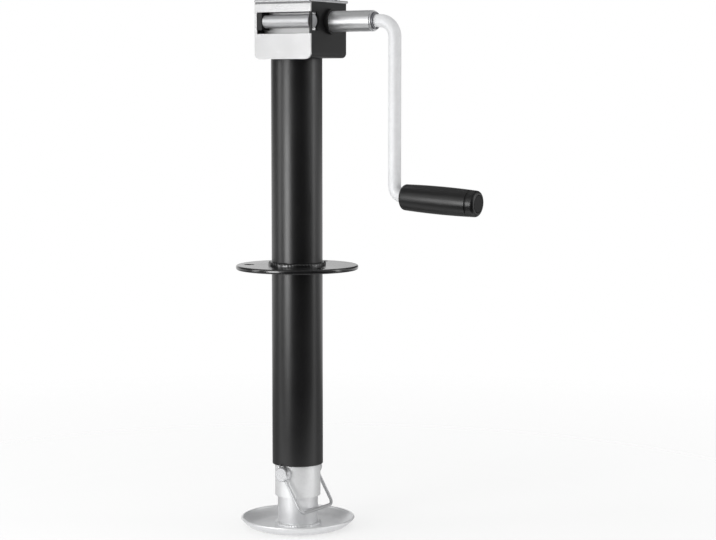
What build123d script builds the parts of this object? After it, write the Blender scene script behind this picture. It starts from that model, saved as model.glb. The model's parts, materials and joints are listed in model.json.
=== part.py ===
from build123d import *
import math
import os

# A-frame trailer jack: a black outer tube with a round three-bolt flange, a zinc-plated ram
# with a pinned foot, and a gear head whose side crank drives a lead screw through a bevel pair.
# Millimetres, +Z up. The origin is under the foot plate, on the tube axis.
# The crank shaft points along +X, and the plated front of the gear head faces -Y.

# Fits and clearances
FIT_GAP = 0.05              # radial, between pieces that are pressed or welded together
RUN_GAP = 0.08              # radial, between a shaft or pin and the bore it turns in
SLIDE_GAP = 0.3             # between faces that slide or pass each other
SEAT_GAP = 0.3              # axial, between a turning piece and its seat

# Outer tube and ram
TUBE_OD = 57.0
TUBE_WALL = 2.6
TUBE_BOTTOM_Z = 73.0
TUBE_LENGTH = 454.5
RAM_WALL = 2.6
RAM_BELOW_PIN = 27.5
NUT_LENGTH = 25.0

# Mounting flange
FLANGE_OD = 137.0
FLANGE_THICKNESS = 5.0
FLANGE_TOP_Z = 297.6
FLANGE_EDGE = 0.8
BOLT_COUNT = 3
BOLT_CIRCLE = 107.7
BOLT_HOLE = 11.5
FIRST_BOLT_ANGLE = 90.0
WELD_LEG = 3.5

# Foot
DISH_OD = 128.0
DISH_FLAT_RADIUS = 46.0
DISH_HEIGHT = 12.0
DISH_SHEET = 3.0
DISH_BOW = 2.2              # how far the sloping wall bows outwards
SOCKET_WALL = 3.0
SOCKET_ABOVE_PIN = 27.5

# Foot pin and its wire bail
PIN_OD = 12.7
PIN_HEAD_OD = 16.0
PIN_HEAD_LENGTH = 7.6
PIN_HEAD_DROP = 0.5         # of the pin's head below the outer tube, with the ram drawn in
PIN_TIP_PROUD = 3.2         # beyond the bail's eye
PIN_CHAMFER = 1.5
WIRE_OD = 3.6
BAIL_LEG = 49.0
BAIL_FRONT_GAP = 0.7        # between the bail's front leg and the outer tube, when it swings up past it
BAIL_BACK_GAP = 4.7
BAIL_BEND = 7.0
BAIL_STUB = 11.0

# Lead screw and its bearing
SCREW_OD = 19.0
SCREW_ABOVE_PIN = 15.15     # from the foot pin to the screw's lower end
SCREW_TAIL = 5.7            # from the stop pin to the screw's lower end
JOURNAL_OD = 15.0
SHOULDER_OD = 30.0
SHOULDER_THICKNESS = 4.1
SHOULDER_GAP = 2.0          # above the ram, drawn in
SEAT_THICKNESS = 8.0
RACE_OD = 30.0
RACE_THICKNESS = 2.5
BALL_OD = 5.0
BALL_COUNT = 10
BALL_CIRCLE_RADIUS = 11.3
RACE_OPENING = 3.4
CAGE_THICKNESS = 1.6
CAGE_RIM = 0.9
STOP_WASHER_OD = 34.0
STOP_WASHER_THICKNESS = 3.0
STOP_PIN_OD = 5.0
STOP_PIN_LENGTH = 28.0

# Gear head housing, front cover and lid
HEAD_LEFT = 29.0
HEAD_RIGHT = 44.0
HEAD_BACK = 37.0
GEAR_ROOM = 1.6             # from the crown gear's pitch circle to the back of the cover's channel
HEAD_HEIGHT = 60.0
PLATE = 3.0
HEAD_BEND = 5.0
COVER_SHEET = 2.0
COVER_DROP = 1.5            # of the cover's lower edge below the housing
COVER_RETURN = 13.0
COVER_BEND = 2.6            # outer radius of the cover's fold under the lid
BACK_RETURN = 14.0
CHANNEL_HEIGHT = 23.5
CHANNEL_TOP_RISE = 10.0     # above the crank axis
CHANNEL_BEND = 3.0
SLOT_HEIGHT = 20.0          # of the slot in the right side that shows the bar's end
SLOT_STRIP = 1.8            # of the side plate, left in front of the slot
BAR_OD = 14.6
BAR_CENTRE_DEPTH = 6.8      # behind the cover's face
BAR_CHAMFER = 0.8
BAR_CAP_GAP = 0.7
BAR_CAP_LENGTH = 6.6
LID_THICKNESS = 3.0
LID_OVERHANG = 1.0
LID_CORNER = 3.0
SCREW_HEAD_OD = 9.0
SCREW_HEAD_HEIGHT = 3.0
SCREW_SHANK_OD = 5.0
SCREW_SHANK_LENGTH = 9.0
SCREW_INSET_X = 11.0
SCREW_INSET_Y = 8.0

# Crank
CRANK_RISE = 39.5           # crank axis above the foot of the gear head
SHAFT_OD = 14.0
SHAFT_NECK_OD = 10.0
NECK_ROOM = 4.0             # from the pinion's hub to the sleeve
NECK_PROUD = 1.1            # of the shaft beyond its left snap ring
ARM_ROOM = 5.3              # from the sleeve's snap ring to the start of the bend
THROW = 189.0
TOP_BEND = 18.0
LOW_BEND = 12.0
GRIP_TILT = 3.1
GRIP_START = 11.5           # along the handle end, from the middle of the arm
GRIP_LENGTH = 91.0
GRIP_END_OD = 28.0
GRIP_BELLY = 1.1            # how far its middle bulges beyond its ends
GRIP_GROOVE_FROM_END = 9.5
GRIP_GROOVE_RADIUS = 1.1
GRIP_EDGE = 3.5
GRIP_RECESS = 9.0
GRIP_RECESS_OD = 20.0
GRIP_CAP_THICKNESS = 2.2
SPINDLE_PROUD = 0.9         # beyond the push nut
PUSH_NUT_OD = 19.0
PUSH_NUT_THICKNESS = 1.2

# Shaft sleeve, bushings and rings
SLEEVE_OD = 23.0
SLEEVE_REACH = 55.0         # outside the gear head
SLEEVE_INSIDE = 3.0
BOSS_OD = 28.0
BOSS_LENGTH = 4.0
BUSHING_WALL = 2.0
BUSHING_LENGTH = 12.0
BUSHING_FLANGE_OD = 21.0
BUSHING_FLANGE = 2.0
NECK_BUSHING_OD = 15.0
NECK_FLANGE_OD = 20.0
NECK_BUSHING_PROUD = 2.0    # inside the left side plate
RING_THICKNESS = 1.4
RING_OD = 19.0
NECK_RING_OD = 16.0
RING_GROOVE = 0.8
NECK_WASHER_THICKNESS = 1.2
NECK_WASHER_OD = 18.0

# Bevel pair
MODULE = 2.0
PINION_TEETH = 11
CROWN_TEETH = 22
FACE_WIDTH = 6.5
PRESSURE_ANGLE = 25.0
ADDENDUM = 0.8
DEDENDUM = 1.0
BACKLASH = 0.5
TOOTH_ROOT_BITE = 0.3       # how deep each tooth is rooted in its blank
FLANK_STEPS = 4             # straight lines along each involute flank
PINION_HUB_OD = 19.0
CROWN_HUB_OD = 30.0
CROWN_NECK = 4.6            # from the hub's top up to the back of the teeth
CROWN_BACK = 4.0
CROWN_TOP_DROP = 12.0
CROWN_TOP_RADIUS = 13.5
GEAR_WASHER_THICKNESS = 1.5
GEAR_WASHER_OD = 34.0
CROWN_PIN_OD = 5.0
CROWN_PIN_RISE = 5.6        # above the hub's lower face
PINION_PIN_OD = 4.0

# Sizes that follow from those above
TUBE_ID = TUBE_OD - 2 * TUBE_WALL
TUBE_TOP_Z = TUBE_BOTTOM_Z + TUBE_LENGTH
RAM_OD = TUBE_ID - 2 * SLIDE_GAP
RAM_ID = RAM_OD - 2 * RAM_WALL
SOCKET_OD = RAM_ID - 2 * SLIDE_GAP
PIN_HOLE = PIN_OD + 2 * RUN_GAP

PIN_Z = TUBE_BOTTOM_Z - PIN_HEAD_DROP - PIN_HEAD_OD / 2
RAM_BOTTOM_Z = PIN_Z - RAM_BELOW_PIN
SOCKET_TOP_Z = PIN_Z + SOCKET_ABOVE_PIN
BAIL_FRONT_Y = -TUBE_OD / 2 - BAIL_FRONT_GAP - WIRE_OD / 2
BAIL_BACK_Y = TUBE_OD / 2 + BAIL_BACK_GAP + WIRE_OD / 2
PIN_TIP_Y = BAIL_BACK_Y + WIRE_OD / 2 + PIN_TIP_PROUD
BAIL_X = SOCKET_OD / 2 + WIRE_OD / 2 + SLIDE_GAP
BAIL_DROP = math.sqrt(BAIL_LEG**2 - BAIL_X**2)

SEAT_BOTTOM_Z = TUBE_TOP_Z - SEAT_THICKNESS
BALL_Z = SEAT_BOTTOM_Z - RACE_THICKNESS - RACE_OPENING / 2
LOWER_RACE_TOP_Z = BALL_Z - RACE_OPENING / 2
SHOULDER_TOP_Z = LOWER_RACE_TOP_Z - RACE_THICKNESS
SHOULDER_BOTTOM_Z = SHOULDER_TOP_Z - SHOULDER_THICKNESS
RAM_TOP_Z = SHOULDER_BOTTOM_Z - SHOULDER_GAP
SCREW_BOTTOM_Z = PIN_Z + PIN_OD / 2 + SCREW_ABOVE_PIN
STOP_PIN_Z = SCREW_BOTTOM_Z + SCREW_TAIL
STOP_WASHER_TOP_Z = STOP_PIN_Z + STOP_PIN_OD / 2 + SEAT_GAP + STOP_WASHER_THICKNESS

HEAD_BASE_Z = TUBE_TOP_Z
HEAD_TOP_Z = HEAD_BASE_Z + HEAD_HEIGHT
CRANK_Z = HEAD_BASE_Z + CRANK_RISE
CROWN_RADIUS = MODULE * CROWN_TEETH / 2
CROWN_HUB_Z = HEAD_BASE_Z + PLATE + GEAR_WASHER_THICKNESS + SEAT_GAP
CROWN_TOP_Z = CRANK_Z - CROWN_TOP_DROP
CHANNEL_FLOOR_Y = -CROWN_RADIUS - GEAR_ROOM - COVER_SHEET
BAR_Y = CHANNEL_FLOOR_Y - SLIDE_GAP - BAR_OD / 2
HEAD_FRONT = BAR_CENTRE_DEPTH - BAR_Y
BAR_CAP_HEIGHT = 2 * (CHANNEL_TOP_RISE - BAR_CAP_GAP)

BUSHING_OD = SHAFT_OD + 2 * RUN_GAP + 2 * BUSHING_WALL
SLEEVE_INNER_X = HEAD_RIGHT - PLATE - SLEEVE_INSIDE
SLEEVE_END_X = HEAD_RIGHT + SLEEVE_REACH
NECK_END_X = SLEEVE_INNER_X - NECK_ROOM
NECK_WASHER_X = -HEAD_LEFT - BUSHING_FLANGE - SEAT_GAP - NECK_WASHER_THICKNESS
NECK_RING_X = NECK_WASHER_X - RING_THICKNESS
SHAFT_LEFT_X = NECK_RING_X - NECK_PROUD
SLEEVE_RING_X = SLEEVE_END_X + BUSHING_FLANGE + SEAT_GAP
ARM_X = SLEEVE_RING_X + RING_THICKNESS + ARM_ROOM + TOP_BEND


def rod(radius, start, end, axis=Axis.Z, centre=(0, 0)):
    """A plain cylinder along an axis, from start to end, with its other two coordinates in centre."""
    solid = Cylinder(radius, end - start, align=(Align.CENTER, Align.CENTER, Align.MIN))
    if axis == Axis.X:
        return Pos(start, *centre) * Rot(0, 90, 0) * solid
    if axis == Axis.Y:
        return Pos(centre[0], start, centre[1]) * Rot(-90, 0, 0) * solid
    return Pos(*centre, start) * solid


def ring(outer, inner, start, end, axis=Axis.Z, centre=(0, 0)):
    """A tube of two radii along an axis."""
    return rod(outer, start, end, axis, centre) - rod(inner, start, end, axis, centre)


def block(x, y, z):
    """A box from three (low, high) pairs."""
    size = [high - low for low, high in (x, y, z)]
    return Pos(x[0], y[0], z[0]) * Box(*size, align=(Align.MIN, Align.MIN, Align.MIN))


def turned(points):
    """A piece turned about Z, from (radius, height) points."""
    profile = Polyline(*[(radius, 0, height) for radius, height in points], close=True)
    return revolve(make_face(profile), Axis.Z)


def edges_of_circle(part, radius, at, axis=Axis.Z):
    """The circular edges with this radius whose centre lies at this distance along the axis."""
    index = {Axis.X: 0, Axis.Y: 1, Axis.Z: 2}[axis]
    return [
        edge
        for edge in part.edges().filter_by(GeomType.CIRCLE)
        if abs(edge.radius - radius) < 0.01 and abs(tuple(edge.arc_center)[index] - at) < 0.01
    ]


# Tubes, flange and foot


def outer_tube():
    return ring(TUBE_OD / 2, TUBE_ID / 2, TUBE_BOTTOM_Z, TUBE_TOP_Z)


def mounting_flange():
    """A flat disc with three bolt holes, and a fillet weld to the tube above and below it."""
    bore = TUBE_OD / 2 + FIT_GAP
    bottom = FLANGE_TOP_Z - FLANGE_THICKNESS
    disc = rod(FLANGE_OD / 2, bottom, FLANGE_TOP_Z)
    disc = chamfer(disc.edges().filter_by(GeomType.CIRCLE), FLANGE_EDGE)
    upper = [(bore, FLANGE_TOP_Z), (bore + WELD_LEG, FLANGE_TOP_Z), (bore, FLANGE_TOP_Z + WELD_LEG)]
    lower = [(bore, bottom - WELD_LEG), (bore + WELD_LEG, bottom), (bore, bottom)]
    disc = disc - rod(bore, bottom, FLANGE_TOP_Z) + turned(upper) + turned(lower)
    for number in range(BOLT_COUNT):
        turn = Rot(0, 0, FIRST_BOLT_ANGLE + 360 / BOLT_COUNT * number)
        disc -= turn * rod(BOLT_HOLE / 2, bottom, FLANGE_TOP_Z, centre=(BOLT_CIRCLE / 2, 0))
    return disc


def pin_bore(reach):
    return rod(PIN_HOLE / 2, -reach, reach, Axis.Y, (0, PIN_Z))


def ram_tube():
    return ring(RAM_OD / 2, RAM_ID / 2, RAM_BOTTOM_Z, RAM_TOP_Z) - pin_bore(RAM_OD)


def ram_nut():
    """The nut that is fixed in the top of the ram and climbs the lead screw."""
    return ring(RAM_ID / 2 - FIT_GAP, SCREW_OD / 2 + RUN_GAP, RAM_TOP_Z - NUT_LENGTH, RAM_TOP_Z)


def foot_socket():
    """The stub tube that goes up inside the ram, with its weld to the foot plate."""
    outer = SOCKET_OD / 2
    stub = ring(outer, outer - SOCKET_WALL, DISH_SHEET, SOCKET_TOP_Z)
    weld = turned([(outer, DISH_SHEET), (outer + WELD_LEG, DISH_SHEET), (outer, DISH_SHEET + WELD_LEG)])
    return stub + weld - pin_bore(SOCKET_OD)


def foot_plate():
    """A pressed dish: a flat floor, a bowed wall that slopes up to the rim, and a rounded lip."""
    lip = DISH_SHEET / 2
    run = DISH_OD / 2 - DISH_FLAT_RADIUS
    rise = DISH_HEIGHT - lip
    slope = math.atan2(rise, run)
    bow = Vector(math.sin(slope), 0, -math.cos(slope)) * DISH_BOW
    floor = Vector(0, 0, DISH_SHEET)
    outer_floor = Vector(DISH_FLAT_RADIUS, 0, 0)
    outer_rim = outer_floor + Vector(run, 0, rise)
    inner_floor = outer_floor + floor - Vector(DISH_SHEET * math.tan(slope / 2), 0, 0)
    inner_rim = outer_rim - Vector(DISH_SHEET, 0, 0)
    outline = [
        Line((0, 0, 0), outer_floor),
        ThreePointArc(outer_floor, (outer_floor + outer_rim) / 2 + bow, outer_rim),
        ThreePointArc(outer_rim, (outer_rim + inner_rim) / 2 + Vector(0, 0, lip), inner_rim),
        ThreePointArc(inner_rim, (inner_rim + inner_floor) / 2 + bow, inner_floor),
        Line(inner_floor, floor),
        Line(floor, (0, 0, 0)),
    ]
    return revolve(make_face(outline), Axis.Z)


def bail_point(distance, y):
    """A point on a bail leg, at this distance down the leg from the pin's axis."""
    share = distance / BAIL_LEG
    return (BAIL_X * share, y, PIN_Z - BAIL_DROP * share)


def foot_pin():
    """The round pin through the ram and the foot, cross-drilled in its head for the bail wire."""
    head_end = BAIL_FRONT_Y - PIN_HEAD_LENGTH / 2
    head = rod(PIN_HEAD_OD / 2, head_end, head_end + PIN_HEAD_LENGTH, Axis.Y, (0, PIN_Z))
    shank = rod(PIN_OD / 2, BAIL_FRONT_Y, PIN_TIP_Y, Axis.Y, (0, PIN_Z))
    pin = shank + chamfer(edges_of_circle(head, PIN_HEAD_OD / 2, head_end, Axis.Y), PIN_CHAMFER / 2)
    pin = chamfer(edges_of_circle(pin, PIN_OD / 2, PIN_TIP_Y, Axis.Y), PIN_CHAMFER)
    tilt = math.degrees(math.atan2(BAIL_X, BAIL_DROP))
    hole = Cylinder(WIRE_OD / 2 + RUN_GAP, 2 * PIN_HEAD_OD)
    return pin - Pos(0, BAIL_FRONT_Y, PIN_Z) * Rot(0, -tilt, 0) * hole


def pin_bail():
    """The spring wire: one end through the pin's head, the other an eye snapped over its tip."""
    eye = PIN_OD / 2 + RUN_GAP + WIRE_OD / 2
    path = FilletPolyline(
        bail_point(-BAIL_STUB, BAIL_FRONT_Y),
        bail_point(BAIL_LEG, BAIL_FRONT_Y),
        bail_point(BAIL_LEG, BAIL_BACK_Y),
        bail_point(eye, BAIL_BACK_Y),
        radius=BAIL_BEND,
    )
    wire = sweep(Plane(path @ 0, z_dir=path % 0) * Circle(WIRE_OD / 2), path)
    return wire + Pos(0, BAIL_BACK_Y, PIN_Z) * Rot(90, 0, 0) * Torus(eye, WIRE_OD / 2)


# Lead screw and thrust bearing


def lead_screw():
    """The plain outline of the screw: threaded length, thrust shoulder and upper journal."""
    screw = rod(SCREW_OD / 2, SCREW_BOTTOM_Z, SHOULDER_BOTTOM_Z)
    screw += rod(SHOULDER_OD / 2, SHOULDER_BOTTOM_Z, SHOULDER_TOP_Z)
    screw += rod(JOURNAL_OD / 2, SHOULDER_TOP_Z, CROWN_TOP_Z)
    screw -= rod(STOP_PIN_OD / 2 + FIT_GAP, -SCREW_OD, SCREW_OD, Axis.X, (0, STOP_PIN_Z))
    return screw - crown_pin_hole()


def bearing_seat():
    """The thick disc welded into the top of the tube, which takes the load from the bearing."""
    return ring(TUBE_ID / 2 - FIT_GAP, JOURNAL_OD / 2 + RUN_GAP, SEAT_BOTTOM_Z, TUBE_TOP_Z)


def race(start, end, bore_gap):
    groove = Pos(0, 0, BALL_Z) * Torus(BALL_CIRCLE_RADIUS, BALL_OD / 2 + RUN_GAP)
    return ring(RACE_OD / 2, JOURNAL_OD / 2 + bore_gap, start, end) - groove


def upper_race():
    return race(SEAT_BOTTOM_Z - RACE_THICKNESS, SEAT_BOTTOM_Z, SLIDE_GAP)


def lower_race():
    return race(SHOULDER_TOP_Z, LOWER_RACE_TOP_Z, FIT_GAP)


def ball_places():
    return PolarLocations(BALL_CIRCLE_RADIUS, BALL_COUNT)


def bearing_balls():
    return Compound([Pos(0, 0, BALL_Z) * place * Sphere(BALL_OD / 2) for place in ball_places()])


def ball_cage():
    """A flat ring that spaces the balls."""
    inner = BALL_CIRCLE_RADIUS - BALL_OD / 2 - CAGE_RIM
    outer = BALL_CIRCLE_RADIUS + BALL_OD / 2 + CAGE_RIM
    cage = ring(outer, inner, BALL_Z - CAGE_THICKNESS / 2, BALL_Z + CAGE_THICKNESS / 2)
    for place in ball_places():
        cage -= Pos(0, 0, BALL_Z) * place * Cylinder(BALL_OD / 2 + RUN_GAP, BALL_OD)
    return cage


def stop_washer():
    bottom = STOP_WASHER_TOP_Z - STOP_WASHER_THICKNESS
    return ring(STOP_WASHER_OD / 2, SCREW_OD / 2 + RUN_GAP, bottom, STOP_WASHER_TOP_Z)


def stop_pin():
    half = STOP_PIN_LENGTH / 2
    return rod(STOP_PIN_OD / 2, -half, half, Axis.X, (0, STOP_PIN_Z))


# Bevel pair


def involute(angle):
    return math.tan(angle) - angle


def tooth_outline(teeth, cone_angle):
    """Half-width and height points of one tooth, on the back cone laid flat, from its root to its tip."""
    pitch = MODULE * teeth / 2 / math.cos(cone_angle)
    pressure = math.radians(PRESSURE_ANGLE)
    base = pitch * math.cos(pressure)
    root = pitch - DEDENDUM * MODULE
    tip = pitch + ADDENDUM * MODULE
    thickness = math.pi * MODULE / 2 - BACKLASH / 2
    middle = thickness / 2 / pitch + involute(pressure)
    start = max(root, base)
    radii = [start + (tip - start) * step / FLANK_STEPS for step in range(FLANK_STEPS + 1)]
    if root < base:
        radii.insert(0, root)
    radii.insert(0, root - TOOTH_ROOT_BITE)
    points = []
    for radius in radii:
        half = middle - involute(math.acos(min(1, base / radius)))
        points.append((radius * math.sin(half), radius * math.cos(half) - pitch))
    return points


def bevel_teeth(teeth, mate_teeth):
    """The teeth of one gear of the pair, about +Z, with its apex at the origin and its pitch cone below."""
    radius = MODULE * teeth / 2
    depth = MODULE * mate_teeth / 2
    cone_angle = math.atan2(radius, depth)
    distance = math.hypot(radius, depth)
    shrink = (distance - FACE_WIDTH) / distance
    outward = Vector(math.cos(cone_angle), 0, math.sin(cone_angle))
    sideways = Vector(0, 1, 0)
    pitch_point = Vector(radius, 0, -depth)
    flank = tooth_outline(teeth, cone_angle)
    corners = [(-u, v) for u, v in flank] + [(u, v) for u, v in reversed(flank)]
    outer = [pitch_point + sideways * u + outward * v for u, v in corners]
    inner = [point * shrink for point in outer]
    faces = [make_face(Polyline(*ends, close=True)) for ends in (outer, inner)]
    tooth = loft(faces, ruled=True)
    return [Rot(0, 0, 360 / teeth * number) * tooth for number in range(teeth)]


def root_corners(teeth, mate_teeth):
    """The outer and inner corners of a gear's root cone, as (radius, height below the apex)."""
    radius = MODULE * teeth / 2
    depth = MODULE * mate_teeth / 2
    distance = math.hypot(radius, depth)
    drop = DEDENDUM * MODULE
    outer = (radius - drop * depth / distance, -depth - drop * radius / distance)
    shrink = (distance - FACE_WIDTH) / distance
    return outer, (outer[0] * shrink, outer[1] * shrink)


def crown_pin_z():
    return CROWN_HUB_Z + CROWN_PIN_RISE


def crown_pin_hole():
    return rod(CROWN_PIN_OD / 2 + FIT_GAP, -CROWN_HUB_OD, CROWN_HUB_OD, Axis.Y, (0, crown_pin_z()))


def crown_gear():
    """The large bevel gear, pinned to the top of the lead screw, teeth upwards."""
    bore = JOURNAL_OD / 2 + FIT_GAP
    hub = CROWN_HUB_OD / 2
    outer, inner = root_corners(CROWN_TEETH, PINION_TEETH)
    lean = math.atan2(CROWN_TEETH, PINION_TEETH)
    back = (outer[0] - CROWN_BACK * math.cos(lean), outer[1] - CROWN_BACK * math.sin(lean))
    top = CROWN_TOP_Z - CRANK_Z
    bottom = CROWN_HUB_Z - CRANK_Z
    neck = back[1] - CROWN_NECK
    upper = [outer, inner, (CROWN_TOP_RADIUS, top), (bore, top)]
    blank = turned([(bore, bottom), (hub, bottom), (hub, neck), back] + upper)
    gear = blank + bevel_teeth(CROWN_TEETH, PINION_TEETH)
    return Pos(0, 0, CRANK_Z) * gear - crown_pin_hole()


def crown_gear_pin():
    half = CROWN_HUB_OD / 2 - FIT_GAP
    return rod(CROWN_PIN_OD / 2, -half, half, Axis.Y, (0, crown_pin_z()))


def gear_washer():
    bottom = HEAD_BASE_Z + PLATE
    return ring(GEAR_WASHER_OD / 2, JOURNAL_OD / 2 + SLIDE_GAP, bottom, bottom + GEAR_WASHER_THICKNESS)


def pinion_pin_x():
    outer, _ = root_corners(PINION_TEETH, CROWN_TEETH)
    return (NECK_END_X - outer[1]) / 2


def pinion_pin_hole():
    return rod(PINION_PIN_OD / 2 + FIT_GAP, -PINION_HUB_OD, PINION_HUB_OD, centre=(pinion_pin_x(), 0))


def bevel_pinion():
    """The small bevel gear on the crank shaft, with its hub against the shaft's shoulder."""
    bore = SHAFT_NECK_OD / 2 + FIT_GAP
    hub = PINION_HUB_OD / 2
    outer, inner = root_corners(PINION_TEETH, CROWN_TEETH)
    hub_start = outer[1] - (hub - outer[0])
    toothed = [outer, inner, (bore, inner[1])]
    blank = turned([(bore, -NECK_END_X), (hub, -NECK_END_X), (hub, hub_start)] + toothed)
    gear = blank + bevel_teeth(PINION_TEETH, CROWN_TEETH)
    return Pos(0, 0, CRANK_Z) * (Rot(0, -90, 0) * gear - pinion_pin_hole())


def pinion_pin():
    half = PINION_HUB_OD / 2 - FIT_GAP
    return Pos(0, 0, CRANK_Z) * rod(PINION_PIN_OD / 2, -half, half, centre=(pinion_pin_x(), 0))


# Gear head


def bent_box(x, y, z, bend):
    """A box whose lower edges, but for the front one, and upright back edges are rounded."""
    box = block(x, y, z)
    lower = box.faces().sort_by(Axis.Z)[0].edges().sort_by(Axis.Y)[1:]
    upright = box.faces().sort_by(Axis.Y)[-1].edges().filter_by(Axis.Z)
    return fillet(list(lower) + list(upright), bend)


def gear_housing():
    """The folded black box, open at the front and the top, with the bearing boss on its right side."""
    left, right = -HEAD_LEFT, HEAD_RIGHT
    front, back = -HEAD_FRONT + COVER_SHEET, HEAD_BACK
    low, high = HEAD_BASE_Z, HEAD_TOP_Z
    shell = bent_box((left, right), (front, back), (low, high), HEAD_BEND)
    shell -= bent_box(
        (left + PLATE, right - PLATE),
        (front - PLATE, back - PLATE),
        (low + PLATE, high + PLATE),
        HEAD_BEND - PLATE,
    )
    shell += block(
        (left + HEAD_BEND, right - HEAD_BEND),
        (back - BACK_RETURN, back - PLATE),
        (high - PLATE, high),
    )
    shell += rod(BOSS_OD / 2, right, right + BOSS_LENGTH, Axis.X, (0, CRANK_Z))
    shell -= rod(SLEEVE_OD / 2 + FIT_GAP, right - PLATE, right + BOSS_LENGTH, Axis.X, (0, CRANK_Z))
    shell -= rod(NECK_BUSHING_OD / 2 + FIT_GAP, left, left + PLATE, Axis.X, (0, CRANK_Z))
    shell -= rod(JOURNAL_OD / 2 + SLIDE_GAP, low, low + PLATE)
    half = SLOT_HEIGHT / 2
    slot_y = (front + SLOT_STRIP, BAR_Y + half)
    shell -= block((right - PLATE, right), slot_y, (CRANK_Z - half, CRANK_Z + half))
    for place in lid_screw_places():
        shell -= lid_screw_hole(place)
    return shell


def channel_z():
    top = CRANK_Z + CHANNEL_TOP_RISE
    return top - CHANNEL_HEIGHT, top


def cover_inner_x():
    """The ends of what has to pass between the housing's two side plates."""
    inset = PLATE + SLIDE_GAP
    return -HEAD_LEFT + inset, HEAD_RIGHT - inset


def front_cover():
    """The plated front sheet: flat face, a channel pressed inwards across it, and a return under the lid."""
    front = -HEAD_FRONT
    back = front + COVER_SHEET
    floor = CHANNEL_FLOOR_Y
    low, high = channel_z()
    inner_x = cover_inner_x()
    panel = block((-HEAD_LEFT, HEAD_RIGHT), (front, back), (HEAD_BASE_Z - COVER_DROP, HEAD_TOP_Z))
    corners = panel.faces().sort_by(Axis.Z)[0].edges().filter_by(Axis.Y)
    panel = fillet(corners, HEAD_BEND + COVER_DROP)
    outer = block(inner_x, (back, floor + COVER_SHEET), (low - COVER_SHEET, high + COVER_SHEET))
    outer = fillet(outer.faces().sort_by(Axis.Y)[-1].edges().filter_by(Axis.X), CHANNEL_BEND)
    inner = block((inner_x[0], HEAD_RIGHT), (front, floor), (low, high))
    inner = fillet(
        inner.faces().sort_by(Axis.Y)[-1].edges().filter_by(Axis.X), CHANNEL_BEND - COVER_SHEET
    )
    fold = block(inner_x, (back, front + COVER_RETURN), (HEAD_TOP_Z - COVER_SHEET, HEAD_TOP_Z))
    cover = panel + outer + fold - inner
    top_edge = cover.edges().filter_by(Axis.X).sort_by(lambda edge: edge.center().Z - edge.center().Y)[-1]
    cover = fillet(top_edge, COVER_BEND)
    for place in lid_screw_places():
        cover -= lid_screw_hole(place)
    return cover


def cover_bar():
    """The round plated bar in the cover's channel, with a flat that keys it in the right side's slot."""
    start, flat_start = cover_inner_x()[0] + BAR_CAP_LENGTH, cover_inner_x()[1]
    bar = rod(BAR_OD / 2, start, HEAD_RIGHT, Axis.X, (BAR_Y, CRANK_Z))
    bar = chamfer(bar.edges().filter_by(GeomType.CIRCLE), BAR_CHAMFER)
    flat_y = -HEAD_FRONT + COVER_SHEET + SLOT_STRIP + SLIDE_GAP
    half = BAR_OD / 2
    return bar - block((flat_start, HEAD_RIGHT), (BAR_Y - half, flat_y), (CRANK_Z - half, CRANK_Z + half))


def bar_cap():
    """The black block that holds the bar's left end in the channel."""
    start = cover_inner_x()[0]
    depth = BAR_OD / 2
    half = BAR_CAP_HEIGHT / 2
    return block(
        (start, start + BAR_CAP_LENGTH),
        (BAR_Y - depth, BAR_Y + depth),
        (CRANK_Z - half, CRANK_Z + half),
    )


def top_lid():
    over = LID_OVERHANG
    lid = block(
        (-HEAD_LEFT - over, HEAD_RIGHT + over),
        (-HEAD_FRONT - over, HEAD_BACK + over),
        (HEAD_TOP_Z, HEAD_TOP_Z + LID_THICKNESS),
    )
    lid = fillet(lid.edges().filter_by(Axis.Z), LID_CORNER)
    for place in lid_screw_places():
        lid -= lid_screw_hole(place)
    return lid


def lid_screw_places():
    return [
        (x, y)
        for x in (-HEAD_LEFT + SCREW_INSET_X, HEAD_RIGHT - SCREW_INSET_X)
        for y in (-HEAD_FRONT + SCREW_INSET_Y, HEAD_BACK - SCREW_INSET_Y)
    ]


def lid_screw_hole(place):
    top = HEAD_TOP_Z + LID_THICKNESS
    return rod(SCREW_SHANK_OD / 2 + FIT_GAP, top - SCREW_SHANK_LENGTH, top, centre=place)


def lid_screws():
    """Four screws that hold the lid to the cover's return and the housing's back return."""
    top = HEAD_TOP_Z + LID_THICKNESS
    screws = []
    for place in lid_screw_places():
        head = rod(SCREW_HEAD_OD / 2, top, top + SCREW_HEAD_HEIGHT, centre=place)
        head = chamfer(head.edges().sort_by(Axis.Z)[-1], SCREW_HEAD_HEIGHT / 3)
        screws.append(head + rod(SCREW_SHANK_OD / 2, top - SCREW_SHANK_LENGTH, top, centre=place))
    return Compound(screws)


# Crank and its bearings


def shaft_sleeve():
    """The plated tube that stands out from the gear head and carries the crank shaft."""
    inner = BUSHING_OD / 2 + FIT_GAP
    return ring(SLEEVE_OD / 2, inner, SLEEVE_INNER_X, SLEEVE_END_X, Axis.X, (0, CRANK_Z))


def inner_bushing():
    inner = SHAFT_OD / 2 + RUN_GAP
    end = SLEEVE_INNER_X + BUSHING_LENGTH
    return ring(BUSHING_OD / 2, inner, SLEEVE_INNER_X, end, Axis.X, (0, CRANK_Z))


def outer_bushing():
    """The flanged bushing in the sleeve's outer end."""
    inner = SHAFT_OD / 2 + RUN_GAP
    end = SLEEVE_END_X
    barrel = ring(BUSHING_OD / 2, inner, end - BUSHING_LENGTH, end, Axis.X, (0, CRANK_Z))
    return barrel + ring(BUSHING_FLANGE_OD / 2, inner, end, end + BUSHING_FLANGE, Axis.X, (0, CRANK_Z))


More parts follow.
